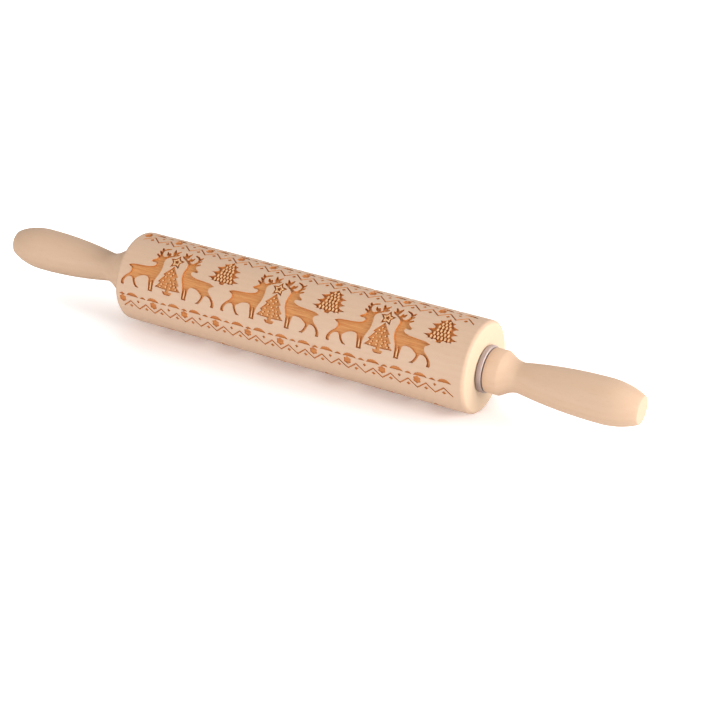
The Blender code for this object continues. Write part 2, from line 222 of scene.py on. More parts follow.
def facing_share(tree, low, high):
    """How much a surface faces along the pin, where the wood shows its end grain and the barrel gets its
    painted highlight.
    """
    facing = add(tree, "ShaderNodeSeparateXYZ", {
        0: add(tree, "ShaderNodeTexCoord").outputs["Normal"]}).outputs["X"]
    size = add(tree, "ShaderNodeMath", {0: facing}, operation="ABSOLUTE").outputs[0]
    return add(tree, "ShaderNodeMapRange", {
        "Value": size, "From Min": low, "From Max": high}).outputs["Result"]


def sanded_beech(name, pale, deep, fleck, end, pith, seed):
    """Bare beech: bands from pale to deep, darker ray flecks, open pores, and an end colour for end grain,
    which on the barrel also holds a painted highlight.
    """
    material, tree, shader = new_material(name)
    bands = scaled(tree, ring_share(tree, pith), band_strength)
    streaks = scaled(tree, grain_share(tree, streak_length, streak_width, 0.3, 0.75, seed),
                     streak_strength)
    mottle = add(tree, "ShaderNodeMath", {0: bands, 1: streaks}, operation="ADD").outputs[0]
    ground = blend(tree, mottle, linear(pale), linear(deep))
    flecks = grain_share(tree, fleck_length, fleck_width, 0.60, 0.70, seed + 4)
    side_colour = blend(tree, scaled(tree, flecks, fleck_strength), ground, linear(fleck))
    # Faces along the pin take the end colour: end grain, and on the barrel also a painted highlight for the
    # light from the right.
    end_grain_and_painted_highlight = scaled(tree, facing_share(tree, 0.75, 0.98), end_strength)
    colour = blend(tree, end_grain_and_painted_highlight, side_colour, linear(end))
    pores = grain_share(tree, pore_length, pore_width, 0.55, 0.75, seed + 9)
    bump = add(tree, "ShaderNodeBump", {"Height": pores, "Strength": 0.12, "Distance": 0.0001})
    bump.invert = True
    tree.links.new(colour, shader.inputs["Base Color"])
    tree.links.new(bump.outputs["Normal"], shader.inputs["Normal"])
    shader.inputs["Roughness"].default_value = 0.62
    shader.inputs["IOR"].default_value = 1.45
    return material


# The barrel's end colour is paler and yellower than its side: partly end grain, partly a painted highlight
# where the right lamp falls on the end faces.
barrel_beech = sanded_beech("sanded_beech_barrel", "#C3A48A", "#BC997E", "#AC866A",
                            "#CCB397", (0.0, 0.031, -0.012), 1.0)
handle_beech = sanded_beech("sanded_beech_handle", "#C3A489", "#BC997D", "#AC8668",
                            "#C0A388", (0.0, -0.018, 0.026), 6.0)
print("growth rings", 1000 * ring_pitch, "mm apart, flecks", 1000 * fleck_length, "mm long")

# %% [markdown]
# Beech browned by the cutter
#
# The frieze is cut with heat, which toasts the wood. The flat floor of each figure turns
# orange, with the hard and soft lines of the grain showing as streaks along the pin. The walls
# catch more heat and turn brown, and so do fine lines, firs and stars, where the beam turns
# often in a small space. The small islands left standing inside the trees are singed orange,
# and painted lighter than the bare beech round them, which is a painted highlight on their tops.

# %% Make the browned floor, wall, island and line finishes
toast_length = 0.016
toast_width = 0.00055


def toasted_beech(name, light, middle, dark, seed):
    """Heated beech: streaks of light, middle and dark brown along the grain."""
    material, tree, shader = new_material(name)
    soft = grain_share(tree, toast_length, toast_width, 0.35, 0.65, seed)
    hard = grain_share(tree, toast_length / 2, toast_width / 2, 0.56, 0.74, seed + 3)
    ground = blend(tree, soft, linear(light), linear(middle))
    colour = blend(tree, scaled(tree, hard, toast_strength), ground, linear(dark))
    bump = add(tree, "ShaderNodeBump", {"Height": soft, "Strength": 0.35, "Distance": 0.0002})
    tree.links.new(colour, shader.inputs["Base Color"])
    tree.links.new(bump.outputs["Normal"], shader.inputs["Normal"])
    shader.inputs["Roughness"].default_value = 0.7
    shader.inputs["IOR"].default_value = 1.45
    return material


toasted_floor = toasted_beech("toasted_beech_floor", "#C58A52", "#B7763F", "#985222", 2.0)
toasted_wall = toasted_beech("toasted_beech_wall", "#C07836", "#B26A2E", "#985424", 5.0)
# The islands are singed orange and painted lighter than bare beech, a painted highlight on their tops.
singed_island_with_painted_highlight = toasted_beech("singed_beech_island_painted_highlight", "#D9B287", "#D0A376", "#BB885C", 8.0)
scorched_line = toasted_beech("scorched_beech_line", "#BE7A40", "#AE6832", "#8C4C20", 11.0)
barrel_finishes = [barrel_beech, toasted_floor, toasted_wall, singed_island_with_painted_highlight, scorched_line]
plain, floor_cut, wall_cut, island_left, line_cut = range(len(barrel_finishes))
print("toasted streaks", 1000 * toast_width, "mm wide")

# %% [markdown]
# Outlines of the frieze
#
# Every figure is drawn once, as shares of its own width and height from its lower left corner,
# and placed by its real size. A curve through the middles of the sides, bent towards the
# points, keeps an outline smooth with few points. A point written twice stays a
# sharp corner, which hoofs, antler tips and the tail need. A tine of the antlers is a line from
# its base to its tip, which later gets a slim leaf shape, as the real tines are full and blunt.

# %% Draw the deer, which looks back over its shoulder
deer_shares = [
    (0.01, 0), (0.01, 0), (0, 0.04), (0.01, 0.095), (0.045, 0.15), (0.09, 0.205), (0.145, 0.245),
    (0.18, 0.295), (0.185, 0.34), (0.17, 0.37), (0.135, 0.385), (0.09, 0.415), (0.09, 0.415),
    (0.135, 0.435), (0.18, 0.45), (0.27, 0.46), (0.44, 0.47), (0.55, 0.485), (0.625, 0.515),
    (0.65, 0.545), (0.65, 0.575), (0.625, 0.595), (0.585, 0.59), (0.535, 0.595), (0.535, 0.595),
    (0.525, 0.625), (0.525, 0.625), (0.57, 0.655), (0.605, 0.685), (0.615, 0.72), (0.605, 0.735),
    (0.557, 0.773), (0.557, 0.773), (0.615, 0.765), (0.63, 0.775), (0.618, 0.80), (0.577, 0.868),
    (0.577, 0.868), (0.607, 0.855), (0.618, 0.87), (0.612, 0.90), (0.588, 0.955), (0.588, 0.955),
    (0.628, 0.935), (0.655, 0.95), (0.70, 0.975), (0.768, 0.99), (0.768, 0.99), (0.74, 0.955),
    (0.695, 0.935), (0.665, 0.905), (0.653, 0.86), (0.67, 0.81), (0.70, 0.765), (0.745, 0.755),
    (0.785, 0.785), (0.785, 0.815), (0.742, 0.893), (0.742, 0.893), (0.80, 0.86), (0.825, 0.825),
    (0.85, 0.81), (0.88, 0.83), (0.882, 0.87), (0.87, 0.93), (0.848, 1.0), (0.848, 1.0),
    (0.895, 0.965), (0.915, 0.925), (0.935, 0.93), (0.985, 0.995), (0.985, 0.995), (0.965, 0.92),
    (0.955, 0.87), (1.0, 0.885), (1.0, 0.885), (0.985, 0.85), (0.94, 0.825), (0.88, 0.79),
    (0.83, 0.755), (0.795, 0.72), (0.785, 0.655), (0.8, 0.59), (0.81, 0.515), (0.805, 0.445),
    (0.79, 0.38), (0.765, 0.325), (0.74, 0.265), (0.72, 0.19), (0.715, 0.11), (0.715, 0),
    (0.715, 0), (0.615, 0), (0.615, 0), (0.62, 0.065), (0.605, 0.15), (0.595, 0.23),
    (0.575, 0.27), (0.515, 0.28), (0.445, 0.27), (0.39, 0.245), (0.34, 0.205), (0.305, 0.18),
    (0.305, 0.14), (0.325, 0.09), (0.355, 0.04), (0.415, 0), (0.415, 0), (0.34, 0), (0.34, 0),
    (0.3, 0.04), (0.265, 0.105), (0.245, 0.165), (0.22, 0.195), (0.17, 0.19), (0.12, 0.165),
    (0.085, 0.115), (0.065, 0.065), (0.075, 0), (0.075, 0)]
tine_shares = [
    (0.63, 0.745, 0.55, 0.79), (0.645, 0.80, 0.572, 0.885), (0.63, 0.885, 0.59, 0.975),
    (0.66, 0.945, 0.77, 0.99), (0.775, 0.80, 0.738, 0.90), (0.83, 0.80, 0.80, 0.885),
    (0.885, 0.85, 0.855, 1.01), (0.91, 0.90, 0.985, 0.995), (0.925, 0.855, 1.0, 0.885)]
tine_share = 0.042
tine_wide_share = 0.7
tine_tip_share = 0.4
shin_shares = [(0.655, 0.03), (0.652, 0.13), (0.664, 0.215), (0.674, 0.13), (0.677, 0.03)]
curve_steps = 3


def curved(points):
    """Smooth an outline towards its points, but keep a point written twice as a corner."""
    smooth = []
    for i, point in enumerate(points):
        before = points[i - 1]
        after = points[(i + 1) % len(points)]
        if point == before:
            continue
        if point == after:
            smooth.append(point)
            continue
        for step in range(curve_steps):
            t = (step + 0.5) / curve_steps
            start = [(a + b) / 2 for a, b in zip(before, point)]
            end = [(a + b) / 2 for a, b in zip(point, after)]
            smooth.append(tuple((1 - t) ** 2 * a + 2 * t * (1 - t) * b + t * t * c
                                for a, b, c in zip(start, point, end)))
    return smooth


print("the deer's outline has", len(curved(deer_shares)), "points once it is curved")

# %% [markdown]
# Trees, star and band
#
# A tree is the same on both sides, so half of it is enough. The fir is spiky and filled with
# beads, the decorated tree has plain tiers with baubles, and the star is a cut outline with a
# small star inside. Below each row of figures runs a band of hills, flowers, dots and a zigzag.

# %% Draw the other figures
tree_half_shares = [
    (0, 1), (0, 1), (0.20, 0.865), (0.38, 0.76), (0.58, 0.66), (0.58, 0.66), (0.45, 0.625),
    (0.45, 0.625), (0.64, 0.50), (0.82, 0.40), (0.82, 0.40), (0.66, 0.36), (0.66, 0.36),
    (0.84, 0.27), (1, 0.195), (1, 0.195), (0.55, 0.18), (0.14, 0.175), (0.14, 0.175),
    (0.13, 0.11), (0.13, 0.11), (0.36, 0.11), (0.36, 0.11), (0.31, 0.03), (0.18, 0)]
bauble_shares = [
    (-0.04, 0.82), (-0.20, 0.72), (0.17, 0.73), (0.03, 0.65), (-0.33, 0.585), (0.33, 0.575),
    (-0.02, 0.52), (-0.45, 0.445), (0.14, 0.45), (0.40, 0.42), (-0.15, 0.37), (-0.53, 0.32),
    (0.22, 0.34), (-0.15, 0.265), (0.17, 0.25), (-0.59, 0.235), (0.62, 0.25), (0.50, 0.33)]
fir_half_shares = [
    (0, 1), (0, 1), (0.12, 0.90), (0.30, 0.84), (0.47, 0.815), (0.47, 0.815), (0.36, 0.76),
    (0.38, 0.70), (0.58, 0.65), (0.79, 0.615), (0.79, 0.615), (0.60, 0.565), (0.50, 0.50),
    (0.62, 0.43), (0.90, 0.397), (0.90, 0.397), (0.66, 0.345), (0.56, 0.29), (0.70, 0.225),
    (1, 0.187), (1, 0.187), (0.74, 0.15), (0.66, 0.11), (0.75, 0.075), (0.75, 0.075),
    (0.55, 0.10), (0.44, 0.06), (0.44, 0.06), (0.33, 0.095), (0.17, 0.085), (0.13, 0), (0.13, 0)]
hill_shares = [
    (0, 0), (0, 0), (0.08, 0.42), (0.19, 0.88), (0.25, 0.76), (0.33, 1.08), (0.41, 0.90),
    (0.49, 1.12), (0.57, 0.90), (0.67, 0.98), (0.75, 0.72), (0.87, 0.56), (1, 0), (1, 0),
    (0.70, 0.10), (0.50, 0.06), (0.28, 0.10)]
knoll_shares = [(0, 0), (0, 0), (0.26, 0.72), (0.5, 1.15), (0.74, 0.72), (1, 0), (1, 0)]
diamond_shares = [(0, 0.5), (0, 0.5), (0.5, 1), (0.5, 1), (1, 0.5), (1, 0.5), (0.5, 0), (0.5, 0)]
star_tips = 5
star_steps = [(1.0, 0.50), (0.62, 0.54), (0.34, 0.58)]
flower_petals = 6
petal_dent = 0.18
round_points = 10
petal_points = 5
fir_bead_rows = 6
fir_bead_start = 0.0024
fir_bead_reach = 0.70


def both_halves(shares):
    """A half outline from the top down, completed by its mirror image."""
    right = [(0.5 + across / 2, up) for across, up in shares]
    left = [(0.5 - across / 2, up) for across, up in shares if across > 0]
    top = [point for point in right if point[0] == 0.5]
    return top[:2] + right[len(top[:2]):] + left[::-1]


def star(radius, waist):
    """A five-pointed star round (0, 0), tip up; the waist is how far its dips reach out."""
    points = []
    for tip in range(2 * star_tips):
        reach = radius if tip % 2 == 0 else radius * waist
        angle = math.pi * tip / star_tips
        points.append((reach * math.sin(angle), reach * math.cos(angle)))
    return points


def disc(width, height, count, petals=0, dent=0.0):
    """An oval round (0, 0); with petals its edge swells and dips."""
    points = []
    for step in range(count):
        angle = 2 * math.pi * step / count
        swell = 1 - dent / 2 + dent / 2 * math.cos(petals * angle)
        points.append((width / 2 * swell * math.sin(angle), height / 2 * swell * math.cos(angle)))
    return points


tree_outline = curved(both_halves(tree_half_shares))
fir_outline = curved(both_halves(fir_half_shares))
print("tree", len(tree_outline), "points, fir", len(fir_outline), "points")

# %% [markdown]
# Real sizes of the figures
#
# These are read from the photograph after unrolling it with the camera found above. The figures
# have the same places and sizes as in the solids. Their depth is a little less, because deep
# walls would look wider and darker than they do on the real pin. Lengths are along the pin, and
# heights go round it. Each row of figures stands on a foot line, which is given by its distance
# round the barrel from the top.

# %% Sizes of the frieze in metres
engraving_depth = 0.0010
stroke_depth = 0.0005
tree_depth = 0.0008
wall_draft = 0.00022
row_foot_arc = 0.02953
upper_row_pitch = 0.0389
lower_row_pitch = 0.0490
unit_pitch = 0.05915
unit_count = 3
unit_start = -0.0661
deer_width = 0.0267
deer_height = 0.0249
deer_axis_gap = 0.0010
tree_width = 0.0150
tree_height = 0.0152
star_radius = 0.0042
star_height = 0.0177
fir_width = 0.0175
fir_height = 0.0145
fir_foot = 0.0122
fir_offset = 0.0285
bauble_size = 0.0008
bead_width = 0.0010
bead_height = 0.0018
bead_row_pitch = 0.0019
bead_pitch = 0.0018
zigzag_pitch = 0.00922
zigzag_count = 20
zigzag_start = -zigzag_pitch * zigzag_count / 2
zigzag_drop = 0.0076
zigzag_height = 0.0048
zigzag_stroke = 0.0009
hill_start = -0.0864
hill_pitch = 0.01244
hill_count = 15
hill_width = 0.0072
hill_height = 0.0019
hill_drop = 0.0054
knoll_width = 0.0037
knoll_height = 0.0011
flower_size = 0.0042
flower_drop = 0.0075
dot_size = 0.0018
diamond_size = 0.0022
diamond_drop = 0.0108

# %% [markdown]
# Lay the figures out on a flat sheet
#
# The barrel's skin is unrolled into a flat sheet, with the place along the pin as one
# coordinate and the distance round it as the other. Each outline has a level. Level 1 is cut
# out of the skin, level 2 is an island left standing in it, and level 3 is cut into an island.
# Each outline also carries its depth and its finish. A thin stroke is cut less deep than a wide
# figure, because the cutter's beam narrows.

# %% Place every outline of the frieze
outlines = []


def lay(points, level, along, arc, width=1.0, height=1.0, side=1, depth=engraving_depth,
        finish=floor_cut):
    """Place an outline on the sheet: height goes up, which is towards smaller arcs."""
    placed = [(along + side * width * x, arc - height * y) for x, y in points]
    outlines.append((level, depth, island_left if level == 2 else finish, placed))


def tine(x0, y0, x1, y1):
    """A slim leaf along one tine of the antlers, which makes it fuller and its tip blunt."""
    base = Vector((x0, y0))
    tip = Vector((x1, y1))
    side = Vector((y0 - y1, x1 - x0)).normalized() * tine_share / 2
    wide = base.lerp(tip, tine_wide_share)
    blunt = side * tine_tip_share
    return curved([tuple(p) for p in (base - side, base + side, wide + side, tip + blunt,
                                      tip - blunt, wide - side)])


def lay_deer(axis, foot):
    """Two deer on either side of an axis, facing it, each with a slit between its forelegs."""
    for side in (-1, 1):
        tail = axis + side * (deer_axis_gap + deer_width)
        lay(curved(deer_shares), 1, tail, foot, deer_width, deer_height, -side)
        for ends in tine_shares:
            lay(tine(*ends), 1, tail, foot, deer_width, deer_height, -side, finish=line_cut)
        lay(shin_shares, 2, tail, foot, deer_width, deer_height, -side)


def lay_tree(axis, foot):
    """The decorated tree, with its baubles left standing."""
    lay(tree_outline, 1, axis - tree_width / 2, foot, tree_width, tree_height, depth=tree_depth)
    for across, up in bauble_shares:
        lay(disc(bauble_size, bauble_size, round_points), 2,
            axis + across * tree_width / 2, foot - up * tree_height)


def lay_star(axis, foot):
    """A star, with a smaller star left standing in it and a third cut into that."""
    for i, (share, waist) in enumerate(star_steps):
        lay(star(star_radius * share, waist), i + 1, axis, foot - star_height, finish=line_cut)


def lay_fir(axis, foot):
    """The fir, with rows of long beads that get shorter towards the tip."""
    low = foot - fir_foot
    lay(fir_outline, 1, axis - fir_width / 2, low, fir_width, fir_height, finish=line_cut)
    for row in range(fir_bead_rows):
        up = fir_bead_start + bead_row_pitch * row
        reach = fir_bead_reach * (1 - up / fir_height) * fir_width / 2
        count = 1 + int(2 * reach // bead_pitch)
        for i in range(count):
            lay(disc(bead_width, bead_height, round_points), 2,
                axis + bead_pitch * (i - (count - 1) / 2), low - up)


def lay_stroke(points, along, arc, width=1.0, height=1.0):
    """A shallow, scorched figure of the band."""
    lay(points, 1, along, arc, width, height, depth=stroke_depth, finish=line_cut)


def lay_zigzag(top):
    """One long stroke of even width, up and down along the whole band."""
    upper = []
    lower = []
    half = zigzag_stroke / 2
    for step in range(2 * zigzag_count + 1):
        along = zigzag_start + zigzag_pitch / 2 * step
        arc = top + (zigzag_height - half if step % 2 == 0 else half)
        upper.append((along, -(arc - half)))
        lower.append((along, -(arc + half)))
    lay_stroke(upper + lower[::-1], 0.0, 0.0)


def lay_band(foot):
    """Hills and knolls, then flowers and dots by turns, over a zigzag with diamonds."""
    lay_zigzag(foot + zigzag_drop)
    for i in range(hill_count):
        hill = hill_start + hill_pitch * i
        knoll = hill - hill_pitch / 2
        line = foot + hill_drop
        lay_stroke(curved(hill_shares), hill - hill_width / 2, line, hill_width, hill_height)
        lay_stroke(curved(knoll_shares), knoll - knoll_width / 2, line, knoll_width, knoll_height)
    for i in range(zigzag_count):
        valley = zigzag_start + zigzag_pitch * i
        peak = valley + zigzag_pitch / 2
        middle = foot + flower_drop
        if i % 2 == 0:
            flower = disc(flower_size, flower_size, flower_petals * petal_points, flower_petals, petal_dent)
            lay_stroke(flower, valley, middle)
        else:
            lay_stroke(curved(diamond_shares), valley - dot_size / 2, middle + dot_size / 2,
                       dot_size, dot_size)
        lay_stroke(curved(diamond_shares), peak - diamond_size / 2,
                   foot + diamond_drop + diamond_size / 2, diamond_size, diamond_size * 0.9)


circumference = 2 * math.pi * barrel_radius
feet = [row_foot_arc, row_foot_arc - upper_row_pitch, row_foot_arc + lower_row_pitch - circumference]
for foot in feet:
    for unit in range(unit_count):
        axis = unit_start + unit_pitch * unit
        lay_deer(axis, foot)
        lay_tree(axis, foot)
        lay_star(axis, foot)
        lay_fir(axis + fir_offset, foot)
    lay_band(foot)
print(len(outlines), "outlines with", sum(len(entry[-1]) for entry in outlines), "points")

# %% [markdown]
# Cut the sheet into triangles
#
# The figures are cut into the skin as real geometry, so that they catch light and shadow from
# every side. A Boolean of a thousand small shapes on a curved barrel would be slow and fragile.
# A constrained triangulation does it flat instead: it takes every outline and a grid of lines
# as edges that must appear, and tells for each triangle which outlines it lies in. The grid
# gives the bent sheet its roundness.

# %% Triangulate the flat sheet
edge_radius = 0.0022
skin_steps = 144
along_steps = 44
edge_steps = 6
straight_half = barrel_half - edge_radius
sheet_half = straight_half + edge_radius * math.pi / 2
seam_margin = 0.004
strip_start = row_foot_arc + zigzag_drop + zigzag_height + zigzag_stroke
sheet_last = strip_start + seam_margin
snap_share = 0.00002


def grid_places():
    """Where the grid lines lie along the pin, closer together over the rounded edges."""
    inner = [straight_half * (2 * i / along_steps - 1) for i in range(along_steps + 1)]
    outer = [straight_half + (sheet_half - straight_half) * i / edge_steps
             for i in range(1, edge_steps + 1)]
    return [-place for place in outer[::-1]] + inner + outer


def triangulate():
    """Flat points, triangles, and the (level, depth, finish) of each, level 0 for skin."""
    arcs = [sheet_last - circumference + circumference * i / skin_steps
            for i in range(skin_steps + 1)]
    places = grid_places()
    points = []
    edges = []
    for arc in arcs:
        points += [(places[0], arc), (places[-1], arc)]
        edges.append((len(points) - 2, len(points) - 1))
    for place in places:
        points += [(place, arcs[0]), (place, arcs[-1])]
        edges.append((len(points) - 2, len(points) - 1))
    faces = []
    for outline in (entry[-1] for entry in outlines):
        turning = sum(a[0] * b[1] - b[0] * a[1] for a, b in zip(outline, outline[1:] + outline[:1]))
        first = len(points)
        points += outline if turning > 0 else outline[::-1]
        faces.append(list(range(first, len(points))))
    scaled_points = [Vector(point) / sheet_half for point in points]
    result = delaunay_2d_cdt(scaled_points, edges, faces, 0, snap_share)
    flat = [point * sheet_half for point in result[0]]
    kinds = [max((outlines[i][:3] for i in inside), default=(0, 0.0, plain))
             for inside in result[5]]
    return flat, result[2], kinds, arcs


flat_points, triangles, kinds, skin_arcs = triangulate()
print(len(flat_points), "points and", len(triangles), "triangles on the sheet")

# %% [markdown]
# Slope the walls
#
# A cutter leaves walls that lean outwards a little, which is what catches the light along the
# edges. So the floor's outline is the skin's outline moved inwards by a small draft. Where a
# figure is narrow, such as an antler tip, the full move would fold a triangle over, so the
# move is halved there until no triangle turns over, and dropped where halving isn't enough.

# %% Work out where the floor's points lie
sharpest_turn = 0.4
least_area_share = 0.15
halving_rounds = 10
last_rounds = 2
cut = [level % 2 == 1 for level, depth, finish in kinds]


def cut_edges():
    """Directed edges with cut wood on their left and standing wood on their right."""
    owner = {}
    for triangle, is_cut in zip(triangles, cut):
        for i in range(3):
            owner[(triangle[i - 1], triangle[i])] = is_cut
    return [edge for edge, is_cut in owner.items()
            if is_cut and not owner.get((edge[1], edge[0]), True)]


def area(a, b, c):
    """The area of a flat triangle, negative when it is turned over."""
    return ((b[0] - a[0]) * (c[1] - a[1]) - (c[0] - a[0]) * (b[1] - a[1])) / 2


def floor_shifts(edges):
    """The inward move of each floor point on an outline, safe against folding."""
    push = {}
    for a, b in edges:
        side = (flat_points[b] - flat_points[a]).normalized()
        for corner in (a, b):
            push[corner] = push.get(corner, Vector((0, 0))) + Vector((-side.y, side.x))
    shifts = {}
    for corner, total in push.items():
        half_turn = max(total.length / 2, sharpest_turn)
        shifts[corner] = total.normalized() * wall_draft / half_turn
    sunk = [triangle for triangle, is_cut in zip(triangles, cut) if is_cut]
    for attempt in range(halving_rounds + last_rounds):
        folded = 0
        for triangle in sunk:
            before = area(*(flat_points[i] for i in triangle))
            after = area(*(flat_points[i] + shifts.get(i, Vector((0, 0))) for i in triangle))
            if after < before * least_area_share:
                folded += 1
                for i in triangle:
                    if i in shifts:
                        shifts[i] = shifts[i] / 2 if attempt < halving_rounds else Vector((0, 0))
        if folded == 0:
            break
    return shifts


walls = cut_edges()
shifts = floor_shifts(walls)
print(len(walls), "wall edges, mean draft",
      round(1000 * sum(s.length for s in shifts.values()) / len(shifts), 3), "mm")

# %% [markdown]
# Bend the sheet into the barrel
#
# Each point is bent round the axis, and past the straight part over the rounded edge. Skin and
# floor are the same triangles at two depths, and a strip of wall joins them. The end faces are
# rings of points that step inwards to the bearing seat and the long bore, so the barrel stays
# one closed body like its solid.

# %% Build the engraved barrel
bore_room = 0.001
clip_room = 0.0024
weld_distance = 1e-6
skin_margin = 0.0001
end_face_share = 0.999


def bent(along, arc, depth):
    """A point of the sheet, bent round the barrel and sunk by a depth."""
    side = -1 if along < 0 else 1
    turn = max(0.0, abs(along) - straight_half) / edge_radius
    reach = edge_radius - depth
    place = min(abs(along), straight_half) + reach * math.sin(turn)
    radius = barrel_radius - edge_radius + reach * math.cos(turn)
    angle = arc / barrel_radius
    return Vector((side * place, -radius * math.sin(angle), axis_height + radius * math.cos(angle)))


def skin_normal(point, x):
    """The outward direction of the round skin at a point of it."""
    out = Vector((0.0, point.y, point.z - axis_height))
    radius = out.length
    out.normalize()
    past = abs(x) - straight_half
    if past <= 0:
        return out
    side = -1 if x < 0 else 1
    return (Vector((side * past, 0, 0)) + out * (radius - barrel_radius + edge_radius)).normalized()


def seat_rings():
    """Steps of the barrel's end from its face inwards, as (place, radius)."""
    seat = race_radius + seat_gap
    back = race_start - seat_gap
    pocket = clip_start - 2 * seat_gap
    bore = rod_radius + bore_room
    pocket_radius = clip_radius + clip_room
    face_middle = (barrel_radius - edge_radius + seat) / 2
    return [(barrel_half, face_middle), (barrel_half, seat), (back, seat),
            (back, pocket_radius), (pocket, pocket_radius), (pocket, bore)]


def build_barrel():
    """Skin, floor and walls of the frieze, both end faces, the seats and the bore."""
    bm = bmesh.new()
    skin = {}
    floor = {}
    for triangle, (level, depth, finish) in zip(triangles, kinds):
        sunk = level % 2 == 1
        ring = floor if sunk else skin
        corners = []
        for i in triangle:
            if i not in ring:
                place = flat_points[i] + shifts.get(i, Vector((0, 0))) if sunk else flat_points[i]
                ring[i] = bm.verts.new(bent(place.x, place.y, depth if sunk else 0.0))
            corners.append(ring[i])
        face = bm.faces.new(corners)
        face.material_index = finish
    for a, b in walls:
        face = bm.faces.new((floor[b], floor[a], skin[a], skin[b]))
        face.material_index = wall_cut
    for side in (-1, 1):
        rings = [[bm.verts.new(bent(side * sheet_half, arc, 0.0)) for arc in skin_arcs]]
        for place, radius in seat_rings():
            rings.append([bm.verts.new((side * place, -radius * math.sin(arc / barrel_radius),
                                        axis_height + radius * math.cos(arc / barrel_radius)))
                          for arc in skin_arcs])
        for first, second in zip(rings, rings[1:]):
            for i in range(len(skin_arcs) - 1):
                bm.faces.new((first[i], first[i + 1], second[i + 1], second[i]))
        if side < 0:
            left_bore = rings[-1]
    for i in range(len(skin_arcs) - 1):
        bm.faces.new((left_bore[i], left_bore[i + 1], rings[-1][i + 1], rings[-1][i]))
    bmesh.ops.remove_doubles(bm, verts=bm.verts, dist=weld_distance)
    bmesh.ops.recalc_face_normals(bm, faces=bm.faces)
    mesh = bpy.data.meshes.new("engraved_barrel")
    bm.to_mesh(mesh)
    bm.free()
    return mesh


def set_skin_normals(mesh):
    """Round shading on skin and floor, and flat shading on walls, end faces and seats."""
    mesh.shade_smooth()
    normals = []
    least_reach = barrel_radius - edge_radius - skin_margin
    for polygon in mesh.polygons:
        middle = polygon.center
        reach = math.hypot(middle.y, middle.z - axis_height)
        on_skin = polygon.material_index != wall_cut and reach > least_reach
        on_skin = on_skin and abs(polygon.normal.x) < end_face_share
        for index in polygon.vertices:
            point = mesh.vertices[index].co
            normals.append(skin_normal(point, point.x) if on_skin else polygon.normal)
    mesh.normals_split_custom_set(normals)


barrel_mesh = build_barrel()
set_skin_normals(barrel_mesh)
for finish in barrel_finishes:
    barrel_mesh.materials.append(finish)
engraved_barrel = bpy.data.objects.new("engraved_barrel", barrel_mesh)
bpy.context.scene.collection.objects.link(engraved_barrel)
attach(engraved_barrel, "barrel_set")
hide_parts("barrel")
open_edges = sum(1 for edge in barrel_mesh.edges if edge.is_loose)
print(len(barrel_mesh.polygons), "faces on the barrel,", open_edges, "loose edges")

# %% [markdown]
# Turned pieces
#
# Handles and end rings are turned on a lathe, so their shape is a profile spun round the axis.
# A ring of points for each step of the profile gives full control of the fineness, and faces
# that meet at a clear angle get a sharp edge, as a lathe tool leaves it.

# %% A lathe for closed profiles
turned_steps = 96


def lathe(name, profile, side, material, sharp_degrees):
    """Spin a closed profile of (place, radius) round the pin's axis; side -1 mirrors it."""
    bm = bmesh.new()
    rings = []
    for place, radius in profile:
        if radius == 0.0:
            rings.append([bm.verts.new((side * place, 0.0, axis_height))] * turned_steps)
            continue
        rings.append([bm.verts.new((side * place,
                                    -radius * math.sin(2 * math.pi * i / turned_steps),
                                    axis_height + radius * math.cos(2 * math.pi * i / turned_steps)))
                      for i in range(turned_steps)])
    for r, ring in enumerate(rings):
        before = rings[r - 1]
        for i in range(turned_steps):
            corners = []
            for corner in (before[i - 1], before[i], ring[i], ring[i - 1]):
                if corner not in corners:
                    corners.append(corner)
            if len(corners) > 2:
                bm.faces.new(corners)
    bmesh.ops.recalc_face_normals(bm, faces=bm.faces)
    mesh = bpy.data.meshes.new(name)
    bm.to_mesh(mesh)
    bm.free()
    mesh.shade_smooth()
    mesh.set_sharp_from_angle(angle=math.radians(sharp_degrees))
    mesh.materials.append(material)
    piece = bpy.data.objects.new(name, mesh)
    bpy.context.scene.collection.objects.link(piece)
    return piece


def arc_of(centre, radius, start_degrees, end_degrees, steps):
    """Points of an arc in the profile, both ends included."""
    angles = [math.radians(start_degrees + (end_degrees - start_degrees) * i / steps)
              for i in range(steps + 1)]
    return [(centre[0] + radius * math.cos(a), centre[1] + radius * math.sin(a)) for a in angles]


print("one turn has", turned_steps, "steps of", round(360 / turned_steps, 2), "degrees")

# %% [markdown]
# The handles
#
# A handle starts with a short straight collar against the steel ring, draws in to a neck, and
# swells slowly to a grip that fills the palm. Its end is rounded over and then cut off flat,
# which leaves a clear edge round a small disc. The curves use the ease formula 3t2 - 2t3, which
# starts and stops level, so that one stretch runs into the next without a kink.

# %% Turn the two handles
collar_radius = 0.0107
collar_length = 0.0065
collar_edge_radius = 0.0006
neck_radius = 0.0073
neck_place_share = 0.205
neck_draw_share = 0.65
grip_place_share = 0.766
grip_swell_share = 0.56
end_flat_radius = 0.0066
end_round_share = 0.9
collar_edge_steps = 5
neck_steps = 16
grip_steps = 40
end_steps = 24
handle_length = handle_end - handle_start


def ease(share):
    """From 0 to 1, starting and stopping level."""
    return share * share * (3 - 2 * share)


